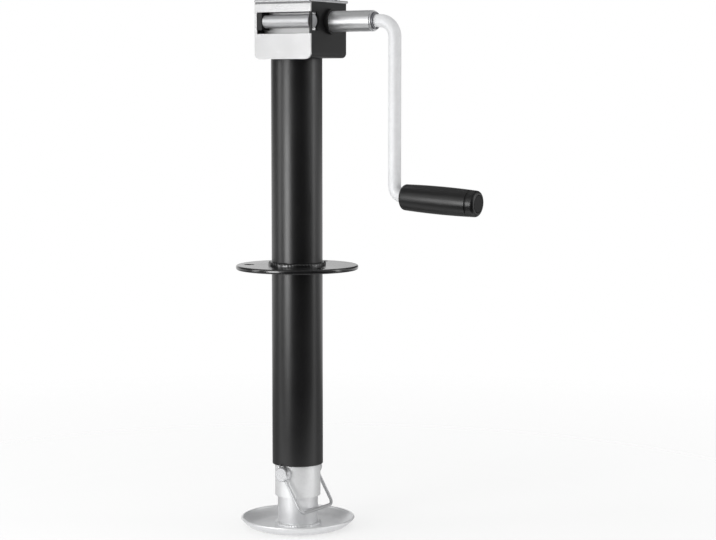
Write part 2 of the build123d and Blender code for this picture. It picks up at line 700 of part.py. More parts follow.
def neck_bushing():
    """The flanged bushing in the left side, pushed in from the outside."""
    inner = SHAFT_NECK_OD / 2 + RUN_GAP
    left = -HEAD_LEFT
    end = left + PLATE + NECK_BUSHING_PROUD
    barrel = ring(NECK_BUSHING_OD / 2, inner, left, end, Axis.X, (0, CRANK_Z))
    return barrel + ring(NECK_FLANGE_OD / 2, inner, left - BUSHING_FLANGE, left, Axis.X, (0, CRANK_Z))


def neck_washer():
    inner = SHAFT_NECK_OD / 2 + FIT_GAP
    end = NECK_WASHER_X + NECK_WASHER_THICKNESS
    return ring(NECK_WASHER_OD / 2, inner, NECK_WASHER_X, end, Axis.X, (0, CRANK_Z))


def snap_ring(outer, shaft, start):
    """An open snap ring that sits in a groove of the shaft."""
    inner = shaft / 2 - RING_GROOVE + FIT_GAP
    body = ring(outer / 2, inner, start, start + RING_THICKNESS, Axis.X, (0, CRANK_Z))
    gap = inner / 2
    return body - block((start, start + RING_THICKNESS), (-gap, gap), (CRANK_Z - outer, CRANK_Z))


def shaft_groove(shaft, start):
    inner = shaft / 2 - RING_GROOVE
    low = start - FIT_GAP
    high = start + RING_THICKNESS + FIT_GAP
    return ring(shaft, inner, low, high, Axis.X, (0, CRANK_Z))


def neck_snap_ring():
    return snap_ring(NECK_RING_OD, SHAFT_NECK_OD, NECK_RING_X)


def sleeve_snap_ring():
    return snap_ring(RING_OD, SHAFT_OD, SLEEVE_RING_X)


def grip_direction():
    tilt = math.radians(GRIP_TILT)
    return Vector(math.cos(tilt), 0, -math.sin(tilt))


def arm_foot():
    return Vector(ARM_X, 0, CRANK_Z - THROW)


def along_grip(distance):
    return Location(Plane(arm_foot() + grip_direction() * distance, z_dir=grip_direction()))


def push_nut_start():
    return GRIP_LENGTH - GRIP_RECESS + SEAT_GAP


def spindle_end():
    return GRIP_START + push_nut_start() + PUSH_NUT_THICKNESS + SPINDLE_PROUD


def crank_rod():
    """One bent round bar: shaft, arm and handle spindle, with a turned-down neck for the pinion."""
    path = FilletPolyline(
        (NECK_END_X, 0, CRANK_Z),
        (ARM_X, 0, CRANK_Z),
        arm_foot(),
        arm_foot() + grip_direction() * spindle_end(),
        radius=[TOP_BEND, LOW_BEND],
    )
    bar = sweep(Plane(path @ 0, z_dir=path % 0) * Circle(SHAFT_OD / 2), path)
    bar += rod(SHAFT_NECK_OD / 2, SHAFT_LEFT_X, NECK_END_X, Axis.X, (0, CRANK_Z))
    bar -= shaft_groove(SHAFT_NECK_OD, NECK_RING_X)
    bar -= shaft_groove(SHAFT_OD, SLEEVE_RING_X)
    return bar - Pos(0, 0, CRANK_Z) * pinion_pin_hole()


def grip():
    """The turned hand grip: bellied, grooved near its outer end, which is recessed."""
    outer = GRIP_END_OD / 2
    bore = SHAFT_OD / 2 + RUN_GAP
    end = GRIP_LENGTH
    outline = [
        Line((bore, 0, 0), (outer, 0, 0)),
        ThreePointArc((outer, 0, 0), (outer + GRIP_BELLY, 0, end / 2), (outer, 0, end)),
        Line((outer, 0, end), (bore, 0, end)),
        Line((bore, 0, end), (bore, 0, 0)),
    ]
    body = revolve(make_face(outline), Axis.Z)
    rims = edges_of_circle(body, outer, 0) + edges_of_circle(body, outer, end)
    body = fillet(rims, GRIP_EDGE)
    body -= rod(GRIP_RECESS_OD / 2, end - GRIP_RECESS, end)
    share = 1 - 2 * GRIP_GROOVE_FROM_END / end
    groove = Torus(outer + GRIP_BELLY * (1 - share**2), GRIP_GROOVE_RADIUS)
    body -= Pos(0, 0, end - GRIP_GROOVE_FROM_END) * groove
    return along_grip(GRIP_START) * body


def push_nut():
    """The spring disc pressed on the spindle, which keeps the grip on."""
    start = push_nut_start()
    disc = ring(PUSH_NUT_OD / 2, SHAFT_OD / 2 + FIT_GAP, start, start + PUSH_NUT_THICKNESS)
    return along_grip(GRIP_START) * disc


def grip_cap():
    """The plug that closes the outer end of the grip."""
    start = GRIP_LENGTH - GRIP_CAP_THICKNESS
    disc = rod(GRIP_RECESS_OD / 2 - FIT_GAP, start, GRIP_LENGTH)
    disc = fillet(disc.edges().sort_by(Axis.Z)[-1], GRIP_CAP_THICKNESS / 2)
    return along_grip(GRIP_START) * disc


PIECES = [
    outer_tube,
    mounting_flange,
    bearing_seat,
    upper_race,
    gear_housing,
    front_cover,
    cover_bar,
    bar_cap,
    top_lid,
    lid_screws,
    gear_washer,
    shaft_sleeve,
    inner_bushing,
    outer_bushing,
    neck_bushing,
    crank_rod,
    bevel_pinion,
    pinion_pin,
    neck_washer,
    neck_snap_ring,
    sleeve_snap_ring,
    push_nut,
    grip,
    grip_cap,
    lead_screw,
    lower_race,
    crown_gear,
    crown_gear_pin,
    stop_washer,
    stop_pin,
    bearing_balls,
    ball_cage,
    ram_tube,
    ram_nut,
    foot_socket,
    foot_plate,
    foot_pin,
    pin_bail,
]

os.makedirs("parts", exist_ok=True)
for piece in PIECES:
    export_step(piece(), f"parts/{piece.__name__}.step")
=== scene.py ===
"""An A-frame trailer jack on a pale studio floor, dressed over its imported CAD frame."""
import json
import math

import bmesh
import bpy
import numpy as np
from mathutils import Euler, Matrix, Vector


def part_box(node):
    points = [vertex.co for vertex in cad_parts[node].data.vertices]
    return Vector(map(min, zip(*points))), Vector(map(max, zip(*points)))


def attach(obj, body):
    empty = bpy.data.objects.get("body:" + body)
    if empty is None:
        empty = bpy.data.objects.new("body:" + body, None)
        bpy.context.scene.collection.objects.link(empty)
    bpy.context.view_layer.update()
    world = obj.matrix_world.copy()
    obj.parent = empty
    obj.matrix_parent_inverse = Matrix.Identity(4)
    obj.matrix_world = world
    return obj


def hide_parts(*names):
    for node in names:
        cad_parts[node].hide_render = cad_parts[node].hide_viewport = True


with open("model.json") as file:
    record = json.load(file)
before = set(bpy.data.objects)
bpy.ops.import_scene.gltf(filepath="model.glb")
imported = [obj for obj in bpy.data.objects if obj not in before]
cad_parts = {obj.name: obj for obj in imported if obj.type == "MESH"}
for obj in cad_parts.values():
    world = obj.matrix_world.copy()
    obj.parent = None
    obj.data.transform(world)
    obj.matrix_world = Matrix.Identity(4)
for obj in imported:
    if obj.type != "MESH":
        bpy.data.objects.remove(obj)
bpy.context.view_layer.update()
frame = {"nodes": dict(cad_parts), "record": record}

MM = 0.001
TURN = 2 * math.pi

# The places and sizes that the dressed pieces take from the frame

TUBE_LOW, TUBE_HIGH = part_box("outer_tube")
FLANGE_LOW, FLANGE_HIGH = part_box("mounting_flange")
LID_LOW, LID_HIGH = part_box("top_lid")
LID_SCREWS_LOW, LID_SCREWS_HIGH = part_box("lid_screws")
SOCKET_LOW, SOCKET_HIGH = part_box("foot_socket")
SCREW_LOW, SCREW_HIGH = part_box("lead_screw")
LOWER_RACE_LOW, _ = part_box("lower_race")

TUBE_RADIUS = TUBE_HIGH.x
TUBE_WALL = 2.6 * MM
WELD_LEG = 3.5 * MM                 # of the plain weld rings in the frame
BEAD_LEG = WELD_LEG + 0.5 * MM      # of the rippled beads that cover them
FLANGE_TOP, FLANGE_BOTTOM = FLANGE_HIGH.z - WELD_LEG, FLANGE_LOW.z + WELD_LEG
BOLT_CIRCLE_RADIUS = 53.85 * MM
BOLT_HOLE_RADIUS = 5.75 * MM
BOLTS = 3
FIRST_BOLT = TURN / 4


# Finishes


class Reading:
    """A number that varies over a surface: each operator adds its Math node to the finish."""

    def __init__(self, finish, socket):
        self.finish, self.socket = finish, socket

    def math(self, operation, *inputs, clamp=False):
        settings = {"operation": operation, "use_clamp": clamp}
        made = self.finish.node("ShaderNodeMath", settings, dict(enumerate(inputs)))
        return Reading(self.finish, made.outputs[0])

    def __add__(self, other):
        return self.math("ADD", self, other)

    def __sub__(self, other):
        return self.math("SUBTRACT", self, other)

    def __rsub__(self, other):
        return self.math("SUBTRACT", other, self)

    def __mul__(self, other):
        return self.math("MULTIPLY", self, other)

    def __gt__(self, other):
        return self.math("GREATER_THAN", self, other)

    def __lt__(self, other):
        return self.math("LESS_THAN", self, other)

    def largest(self, other):
        return self.math("MAXIMUM", self, other)

    def clamped(self):
        return self.math("ADD", self, 0.0, clamp=True)

    __radd__ = __add__
    __rmul__ = __mul__


class Finish:
    """A node tree under construction, for a material or for the world."""

    def __init__(self, owner):
        owner.use_nodes = True
        self.owner = owner
        self.tree = owner.node_tree
        self.tree.nodes.clear()

    def node(self, kind, settings=None, inputs=None):
        """Any node: its settings and ramp stops first, then the value or link of each socket."""
        made = self.tree.nodes.new(kind)
        for name, setting in (settings or {}).items():
            if name == "stops":
                while len(made.color_ramp.elements) < len(setting):
                    made.color_ramp.elements.new(0.5)
                for element, (place, shade) in zip(made.color_ramp.elements, setting):
                    element.position = place
                    element.color = (shade, shade, shade, 1.0)
            else:
                setattr(made, name, setting)
        for name, given in (inputs or {}).items():
            if isinstance(given, Reading):
                given = given.socket
            if isinstance(given, bpy.types.NodeSocket):
                self.tree.links.new(given, made.inputs[name])
            else:
                made.inputs[name].default_value = given
        return made

    def place(self, stretch=(1, 1, 1)):
        """The surface's own coordinates, in metres, stretched."""
        coordinates = self.node("ShaderNodeTexCoord").outputs["Object"]
        inputs = {"Vector": coordinates, "Scale": stretch}
        return self.node("ShaderNodeMapping", {}, inputs).outputs[0]

    def axes(self):
        """The surface's own x, y and z, in millimetres."""
        made = self.node("ShaderNodeSeparateXYZ", {}, {0: self.place((1000, 1000, 1000))})
        return [Reading(self, socket) for socket in made.outputs]

    def along(self, vector, direction):
        """How far a vector reaches in a direction."""
        settings = {"operation": "DOT_PRODUCT"}
        made = self.node("ShaderNodeVectorMath", settings, {0: vector, 1: direction})
        return Reading(self, made.outputs["Value"])

    def noise(self, size, detail=2.0, stretch=(1, 1, 1), distortion=0.0):
        """Cloudy noise from 0 to 1 whose blobs are about this many millimetres across."""
        inputs = {
            "Vector": self.place(stretch),
            "Scale": 1000 / size,
            "Detail": detail,
            "Distortion": distortion,
        }
        return Reading(self, self.node("ShaderNodeTexNoise", {}, inputs).outputs[0])

    def cells(self, size):
        """Random values from 0 to 1, one to each cell, about this many millimetres across."""
        inputs = {"Vector": self.place(), "Scale": 1000 / size}
        colour = self.node("ShaderNodeTexVoronoi", {}, inputs).outputs["Color"]
        return Reading(self, self.node("ShaderNodeSeparateColor", {}, {0: colour}).outputs[0])

    def ramp(self, reading, *stops):
        """The reading carried through a ramp of (place, value) stops."""
        made = self.node("ShaderNodeValToRGB", {"stops": stops}, {0: reading})
        separate = self.node("ShaderNodeSeparateColor", {}, {0: made.outputs[0]})
        return Reading(self, separate.outputs[0])

    def signed_ramp(self, reading, reach, *stops):
        """A ramp over -reach to reach, with its stops placed on that scale."""
        places = (((place / reach + 1) / 2, value) for place, value in stops)
        return self.ramp(reading * (0.5 / reach) + 0.5, *places)

    def blend(self, share, first, second):
        """One colour passing into another, each of them plain or one that already varies."""
        first, second = (
            colour if isinstance(colour, bpy.types.NodeSocket) else (*colour, 1.0)
            for colour in (first, second)
        )
        inputs = {0: share, 6: first, 7: second}
        return self.node("ShaderNodeMix", {"data_type": "RGBA"}, inputs).outputs[2]

    def mixed(self, share, first, second):
        """One shader passing into another."""
        shaders = {0: share, 1: first.outputs[0], 2: second.outputs[0]}
        return self.node("ShaderNodeMixShader", {}, shaders)

    def light_path(self, *rays):
        """1 where the surface is looked at by each of these kinds of ray, else 0."""
        path = self.node("ShaderNodeLightPath")
        return [Reading(self, path.outputs[f"Is {ray} Ray"]) for ray in rays]

    def surface(self, constants, varying, bumps):
        """The Principled surface, with bumps given as (height, depth in mm) pairs."""
        normal = {}
        for height, depth in bumps:
            inputs = {"Height": height, "Distance": depth * MM, "Strength": 1.0, **normal}
            normal = {"Normal": self.node("ShaderNodeBump", {}, inputs).outputs[0]}
        shader = self.node("ShaderNodeBsdfPrincipled", {}, {**constants, **varying, **normal})
        self.node("ShaderNodeOutputMaterial", {}, {"Surface": shader.outputs[0]})
        return self.owner


def new_finish(name):
    return Finish(bpy.data.materials.new(name))


def toned(colour, factor, lift=0.0):
    return tuple(channel * factor + lift for channel in colour)


def powder_coat(name, colour, gloss, grain=1.1, shine=0.3):
    """Baked powder: a dark satin film with a fine orange peel and a few lighter specks."""
    finish = new_finish(name)
    cloud = finish.noise(38, 3)
    peel = finish.noise(grain, 1.5)
    fine = finish.noise(0.28, 1)
    speck = finish.cells(0.7) > 0.985
    share = (cloud * 0.5 + speck * 0.35).clamped()
    varying = {
        "Base Color": finish.blend(share, colour, toned(colour, 1.9, 0.004)),
        "Roughness": (cloud * 0.1 + fine * 0.08 + (gloss - 0.08)).clamped(),
    }
    return finish.surface({"Specular IOR Level": shine}, varying, [(peel, 0.035), (fine, 0.006)])


def zinc_plate(name, colour, gloss, grain, metal=0.85, recess=None):
    """Zinc over steel: cloudy brightness, fine drawing lines along the grain, faint spangle.

    The film is a little milky, so it isn't a full metal. In a recess, given as (lowest height,
    highest height, front face) in mm, its colour is darkened as painted shade, and it is rougher.
    """
    finish = new_finish(name)
    cloud = finish.noise(16, 4, distortion=0.4)
    spangle = finish.cells(2.6)
    lines = finish.noise(0.7, 2, stretch=grain)
    hair = finish.noise(0.22, 1, stretch=grain)
    share = (cloud * 0.9 + spangle * 0.22 - 0.12).clamped()
    plated = finish.blend(share, colour, toned(colour, 0.86))
    rough = cloud * 0.14 + lines * 0.1 + spangle * 0.04 + (gloss - 0.12)
    if recess:
        low, high, front = recess
        _, depth, height = finish.axes()
        # Painted shade: inside the recess the plating colour is darkened to stand for the shade
        # there.
        shaded_recess = (height > low) * (high > height) * (depth > front)
        plated = finish.blend(shaded_recess, plated, toned(colour, 0.54))
        rough = rough + shaded_recess * 0.12
    varying = {"Base Color": plated, "Roughness": rough.clamped()}
    return finish.surface({"Metallic": metal}, varying, [(lines, 0.008), (hair, 0.003)])


def bare_steel(name, colour, gloss, oil=0.0, grain=(1, 1, 1)):
    """Machined steel with turning marks, darker in patches where grease or heat has stained it."""
    finish = new_finish(name)
    stain = finish.noise(9, 4, distortion=0.8)
    marks = finish.noise(0.5, 2, stretch=grain)
    fine = finish.noise(0.15, 1)
    share = finish.ramp(stain, (0.42, 0.0), (0.72, 0.9))
    varying = {
        "Base Color": finish.blend(share, colour, toned(colour, 0.55)),
        "Roughness": (marks * 0.14 + share * 0.12 + (gloss - 0.1)).clamped(),
    }
    constants = {"Metallic": 1.0, "Coat Weight": oil, "Coat Roughness": 0.12}
    return finish.surface(constants, varying, [(marks, 0.01), (fine, 0.003)])


def moulded_plastic(name, colour, gloss, shine):
    """Moulded plastic with a fine spark-eroded grain and slightly shinier worn patches."""
    finish = new_finish(name)
    cloud = finish.noise(22, 3)
    grain = finish.noise(0.45, 2)
    varying = {
        "Base Color": finish.blend(cloud * 0.6, colour, toned(colour, 1.7, 0.003)),
        "Roughness": (grain * 0.1 + cloud * 0.1 + (gloss - 0.1)).clamped(),
    }
    return finish.surface({"Specular IOR Level": shine}, varying, [(grain, 0.012)])


def sintered_bronze(name, colour):
    """Pressed bronze powder: matt, with pores and oil-darkened clouds."""
    finish = new_finish(name)
    cloud = finish.noise(5, 4)
    pores = finish.cells(0.35)
    share = (cloud * 0.8 + pores * 0.4 - 0.15).clamped()
    varying = {
        "Base Color": finish.blend(share, colour, toned(colour, 0.5)),
        "Roughness": (pores * 0.14 + cloud * 0.12 + 0.3).clamped(),
    }
    return finish.surface({"Metallic": 1.0}, varying, [(pores, 0.015)])


BLACK = (0.0035, 0.0035, 0.0038)
BRIGHT = (0.86, 0.865, 0.875)
ALONG_X, ALONG_Y, ALONG_Z, ALL_WAYS = (0.03, 1, 1), (1, 0.03, 1), (1, 1, 0.03), (1, 1, 1)
# The cover's pressed channel, whose plating is darkened as painted shade: heights and front face in
# mm.
COVER_CHANNEL_SHADE = (553.7, 576.8, -39.7)

FINISH_OF_SLOT = {
    "tube_paint": powder_coat("tube_coat", BLACK, 0.32, shine=0.7),
    "flange_paint": powder_coat("flange_coat", BLACK, 0.17, 1.6, shine=1.0),
    "housing_paint": powder_coat("housing_coat", (0.006, 0.006, 0.0064), 0.45, 0.9, shine=0.4),
    "cap_paint": powder_coat("cap_coat", (0.01, 0.01, 0.0105), 0.4, 0.8),
    "cover_zinc": zinc_plate("cover_plate", (0.87, 0.87, 0.875), 0.2, ALONG_X, 0.95, COVER_CHANNEL_SHADE),
    "lid_zinc": zinc_plate("lid_plate", (0.68, 0.685, 0.695), 0.34, ALONG_X),
    # The bar's plating is darker than the cover's as painted shade for its place deep in the
    # channel.
    "bar_zinc": zinc_plate("bar_plate", (0.66, 0.665, 0.675), 0.3, ALONG_X, 0.75),
    "screw_zinc": zinc_plate("screw_plate", (0.78, 0.785, 0.8), 0.28, ALL_WAYS),
    "sleeve_zinc": zinc_plate("sleeve_plate", BRIGHT, 0.34, ALONG_X, 0.95),
    "bushing_zinc": zinc_plate("bushing_plate", (0.76, 0.765, 0.78), 0.3, ALL_WAYS),
    "crank_zinc": zinc_plate("crank_plate", (0.8, 0.805, 0.815), 0.6, ALONG_Z, 0.22),
    "ram_zinc": zinc_plate("ram_plate", (0.9, 0.905, 0.91), 0.34, ALONG_Z, 0.5),
    "socket_zinc": zinc_plate("socket_plate", BRIGHT, 0.32, ALONG_Z, 0.6),
    "foot_zinc": zinc_plate("foot_plating", BRIGHT, 0.36, ALL_WAYS, 0.5),
    "pin_zinc": zinc_plate("pin_plate", (0.8, 0.805, 0.82), 0.26, ALONG_Y),
    "bail_wire": zinc_plate("bail_plate", (0.62, 0.625, 0.635), 0.34, ALL_WAYS, 0.6),
    "bronze": sintered_bronze("bushing_bronze", (0.6, 0.39, 0.18)),
    "gear_steel": bare_steel("gear_steel", (0.3, 0.3, 0.31), 0.38, oil=0.4),
    "screw_steel": bare_steel("thread_steel", (0.42, 0.42, 0.43), 0.32, oil=0.5),
    "turned_steel": bare_steel("turned_steel", (0.52, 0.52, 0.54), 0.28, grain=ALONG_Z),
    "washer_steel": bare_steel("washer_steel", (0.6, 0.6, 0.62), 0.3),
    "bearing_steel": bare_steel("race_steel", (0.56, 0.56, 0.58), 0.2, oil=0.3),
    "ball_steel": bare_steel("ball_steel", (0.72, 0.72, 0.74), 0.14, oil=0.3),
    "cage_steel": bare_steel("cage_steel", (0.5, 0.5, 0.52), 0.32, oil=0.3),
    "spring_steel": bare_steel("ring_steel", (0.3, 0.3, 0.32), 0.36),
    "grip_plastic": moulded_plastic("grip_plastic", (0.0025, 0.0025, 0.0027), 0.35, 0.6),
    "cap_plastic": moulded_plastic("plug_plastic", (0.002, 0.002, 0.0022), 0.3, 0.1),
}


def coat(made, slot_name):
    """Put the finish of one of the record's slots on every material slot of an object."""
    finish = FINISH_OF_SLOT[slot_name]
    if not made.material_slots:
        made.data.materials.append(finish)
    for slot in made.material_slots:
        slot.material = finish


for part in frame["record"]["subparts"]:
    coat(frame["nodes"][part["node"]], part["material_slot"])


# Meshes from grids of points


def piece(name, grids, body, slot, replaces=()):
    """One object from grids of points, each given with True where its last row meets its first.

    The columns of each grid close on themselves. Points that coincide are merged, and the faces
    are turned outwards. Only edges sharper than 35 degrees stay sharp.
    """
    vertices, faces, start = [], [], 0
    for grid, wrap_rows in grids:
        index = np.arange(grid.shape[0] * grid.shape[1]).reshape(grid.shape[:2])
        index = np.hstack([index, index[:, :1]])
        if wrap_rows:
            index = np.vstack([index, index[:1]])
        quads = [index[:-1, :-1], index[:-1, 1:], index[1:, 1:], index[1:, :-1]]
        faces.append(np.stack(quads, axis=-1).reshape(-1, 4) + start)
        vertices.append(grid.reshape(-1, 3))
        start += len(vertices[-1])
    mesh = bpy.data.meshes.new(name)
    mesh.from_pydata(np.vstack(vertices).tolist(), [], np.vstack(faces).tolist())
    welded = bmesh.new()
    welded.from_mesh(mesh)
    bmesh.ops.remove_doubles(welded, verts=welded.verts, dist=2e-6)
    bmesh.ops.dissolve_degenerate(welded, edges=welded.edges, dist=1e-7)
    bmesh.ops.recalc_face_normals(welded, faces=welded.faces)
    welded.to_mesh(mesh)
    welded.free()
    mesh.polygons.foreach_set("use_smooth", [True] * len(mesh.polygons))
    mesh.set_sharp_from_angle(angle=math.radians(35))
    made = bpy.data.objects.new(name, mesh)
    bpy.context.scene.collection.objects.link(made)
    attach(made, body)
    if replaces:
        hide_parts(*replaces)
    coat(made, slot)


def angles(steps):
    return np.arange(steps) * TURN / steps


def rounded(corners, steps=5):
    """A closed outline of (x, y) points from (x, y, rounding) corners.

    Each corner becomes the curve (1-t)^2 a + 2t(1-t) corner + t^2 b, where a and b lie on its
    two sides, the rounding away from it. That is steps + 1 points, or one where it isn't rounded.
    """
    corners = np.array(corners, float)
    place, size = corners[:, :2], corners[:, 2:]
    before = np.roll(place, 1, axis=0) - place
    after = np.roll(place, -1, axis=0) - place
    before /= np.linalg.norm(before, axis=1, keepdims=True)
    after /= np.linalg.norm(after, axis=1, keepdims=True)
    t = np.linspace(0, 1, steps + 1)[None, :, None]
    a, b = (place + before * size)[:, None], (place + after * size)[:, None]
    points = ((1 - t) ** 2 * a + 2 * t * (1 - t) * place[:, None] + t**2 * b).reshape(-1, 2)
    return points[np.linalg.norm(points - np.roll(points, 1, axis=0), axis=1) > 1e-7]


def turned(outline, steps):
    """An outline of (radius, height) points carried round Z: (r cos a, r sin a, h)."""
    outline, angle = np.array(outline), angles(steps)
    spoke = np.stack([np.cos(angle), np.sin(angle), np.zeros(steps)], axis=1)
    return outline[:, :1, None] * spoke + outline[:, 1:2, None] * np.array((0.0, 0.0, 1.0))


def weld_bead(radius, height, ripples, seed, up=1):
    """A fillet weld round Z, where a tube of this radius meets a plate at this height.

    Its section is a slightly crowned arc from the plate to the tube. The arc is pushed out by
    ripples, 1 - |sin(n a / 2 + bend)|, that arch along the bead as laid-down drops do.
    """
    sink = 0.2 * MM
    across = np.linspace(0, math.pi / 2, 13)[:, None]
    along = angles(1008)[None, :]
    wander = 0.16 * np.sin(3 * along + seed) + 0.1 * np.sin(7 * along + 2 * seed)
    arch = 0.9 * np.sin(across * 2)
    drops = 1 - np.abs(np.sin(ripples * along / 2 + arch + wander * 4))
    width = BEAD_LEG * (1 + 0.06 * np.sin(5 * along + 3 * seed) + 0.05 * np.sin(11 * along))
    crown = 0.8 * width * (1 + 0.1 * drops * np.sin(across * 2))
    out = np.minimum(width, crown * np.cos(across) ** 0.8 + 0.16 * BEAD_LEG)
    rise = np.minimum(width, crown * np.sin(across) ** 0.8 + 0.16 * BEAD_LEG)
    out[0], rise[0] = width, 0
    out[-1], rise[-1] = 0, width
    out = np.vstack([0 * out[:1], out]) + radius - sink
    rise = np.vstack([0 * rise[:1], rise]) - sink
    return np.stack([out * np.cos(along), out * np.sin(along), height + up * rise], axis=-1)


# Pieces dressed over the frame


def top_lid_skin():
    """The lid with rolled edges.

    The outline is a rectangle with rounded corners: half sizes (a, b) less the corner radius,
    plus the radius times (cos t, sin t). Each row of the section shrinks it by its own inset,
    so that the edge is a half ellipse from the underside to the top.
    """
    corner, roll = 3 * MM, 1.1 * MM
    low, high = np.array(LID_LOW), np.array(LID_HIGH)
    centre, half = (low + high) / 2, (high - low) / 2
    angle = angles(160) + TURN / 320
    spoke = np.stack([np.cos(angle), np.sin(angle)], axis=1)
    outline = np.sign(spoke) * (half[:2] - corner) + corner * spoke
    sweep = np.linspace(-math.pi / 2, math.pi / 2, 13)[:, None, None]
    rims = outline - spoke * roll * (1 - np.cos(sweep))
    heights = half[2] * np.sin(sweep)
    middle = 0 * rims[:1]
    rims = np.concatenate([middle, rims, middle]) + centre[:2]
    heights = np.concatenate([heights[:1], heights, heights[-1:]]) + centre[2]
    grid = np.concatenate([rims, np.broadcast_to(heights, rims.shape[:2] + (1,))], axis=2)
    piece("top_lid_skin", [(grid, False)], "frame", "lid_zinc", ["top_lid"])


def outer_tube_skin():
    """The black tube with its cut ends eased: a rounded wall section carried round Z."""
    outer, inner = TUBE_RADIUS, TUBE_RADIUS - TUBE_WALL
    low, high, foot_ease, top_ease = TUBE_LOW.z, TUBE_HIGH.z, 0.7 * MM, 0.2 * MM
    corners = [(outer, low, foot_ease), (outer, high, top_ease)]
    corners += [(inner, high, top_ease), (inner, low, foot_ease)]
    grid = turned(rounded(corners), 192)
    piece("outer_tube_skin", [(grid, True)], "frame", "tube_paint", ["outer_tube"])


def flange_skin():
    """The mounting flange with a rolled rim: three equal sectors, each with a bolt hole.

    A sector's outline is two arcs and two radial lines, as complex numbers. Its face runs from
    the hole's edge to the outline, edge + share (outline - edge), on top and underneath, and the
    hole's wall joins the two. The rim's section and the bore's wall, carried round Z, close it.
    """
    roll, hole_ease, fit_gap = 1.9 * MM, 0.3 * MM, 0.05 * MM
    arc_steps, side_steps, face_steps, corner_points = 64, 16, 12, 12
    rim, bore = FLANGE_HIGH.x, TUBE_RADIUS + fit_gap
    arc = np.exp(1j * np.linspace(-TURN / 6, TURN / 6, arc_steps + 1))
    side = np.linspace(rim - roll, bore, side_steps + 1)
    sides = side[:-1] * arc[-1], side[:0:-1] * arc[0]
    outline = np.concatenate([side[0] * arc[:-1], sides[0], bore * arc[:0:-1], sides[1]])
    spoke = np.exp(1j * (angles(2 * (arc_steps + side_steps)) - TURN / 5))
    edge = BOLT_CIRCLE_RADIUS + (BOLT_HOLE_RADIUS + hole_ease) * spoke
    shares = (1 - np.cos(np.linspace(0, math.pi, face_steps + 1)[1:, None])) / 2
    face = edge + shares * (outline - edge)

    def section(radius, ease, far):
        near = [(radius, FLANGE_TOP, ease), (radius, FLANGE_BOTTOM, ease)]
        points = rounded(near + [(far, FLANGE_BOTTOM, 0), (far, FLANGE_TOP, 0)])
        return points[:corner_points], points[corner_points:]

    wall, _ = section(BOLT_HOLE_RADIUS, hole_ease, BOLT_HOLE_RADIUS + 9 * MM)
    rows = np.concatenate([face[::-1], BOLT_CIRCLE_RADIUS + wall[:, :1] * spoke, face])
    heights = np.r_[[FLANGE_TOP] * face_steps, wall[:, 1], [FLANGE_BOTTOM] * face_steps]
    heights = np.broadcast_to(heights[:, None], rows.shape)
    grids = []
    for number in range(BOLTS):
        sector = rows * np.exp(1j * (FIRST_BOLT + number * TURN / BOLTS))
        grids.append((np.stack([sector.real, sector.imag, heights], axis=-1), False))
    grids += [(turned(part, BOLTS * arc_steps), False) for part in section(rim, roll, bore)]
    piece("mounting_flange_skin", grids, "frame", "flange_paint", ["mounting_flange"])


def welds():
    """The rippled beads: round the tube above and below the flange, and round the foot's socket."""
    above = weld_bead(TUBE_RADIUS, FLANGE_TOP, 56, 1)
    below = weld_bead(TUBE_RADIUS, FLANGE_BOTTOM, 58, 2, up=-1)
    piece("flange_weld_beads", [(above, True), (below, True)], "frame", "flange_paint")
    foot = weld_bead(SOCKET_HIGH.x - WELD_LEG, SOCKET_LOW.z, 44, 4)
    piece("foot_weld_bead", [(foot, True)], "ram", "socket_zinc")


def threaded_screw():
    """The lead screw: a left-hand thread, the thrust shoulder and the upper journal.

    The thread's height at an angle a and a height z is 0.5 + 1.1 cos(2 pi z / lead + a), held
    between root and crest. Its crests fall as the angle grows, and it fades out at both ends.
    """
    crest, shoulder, journal = 9.5 * MM, 15.0 * MM, 7.5 * MM
    lead, depth, shoulder_thickness, chamfer = 5.08 * MM, 2.3 * MM, 4.1 * MM, 0.8 * MM
    rows_per_turn, steps = 12, 32
    low, top = SCREW_LOW.z, SCREW_HIGH.z
    shoulder_top = LOWER_RACE_LOW.z
    high = shoulder_top - shoulder_thickness
    z = np.linspace(low, high, round(rows_per_turn * (high - low) / lead))[:, None]
    angle = angles(steps)[None, :]
    height = np.clip(0.5 + 1.1 * np.cos(TURN * z / lead + angle), 0, 1)
    fade = np.clip((z - low) / lead, 0, 1) * np.clip((high - z) / lead, 0, 1)
    radius = crest - depth * (1 - height * fade)
    thread = np.stack([radius * np.cos(angle), radius * np.sin(angle), z + 0 * radius], axis=-1)
    head = [(shoulder, high), (shoulder, shoulder_top), (journal, shoulder_top)]
    head += [(journal, top - chamfer), (journal - chamfer, top), (0, top)]
    grid = np.concatenate([turned([(0, low)], steps), thread, turned(head, steps)])
    piece("lead_screw_threaded", [(grid, False)], "screw", "screw_steel", ["lead_screw"])


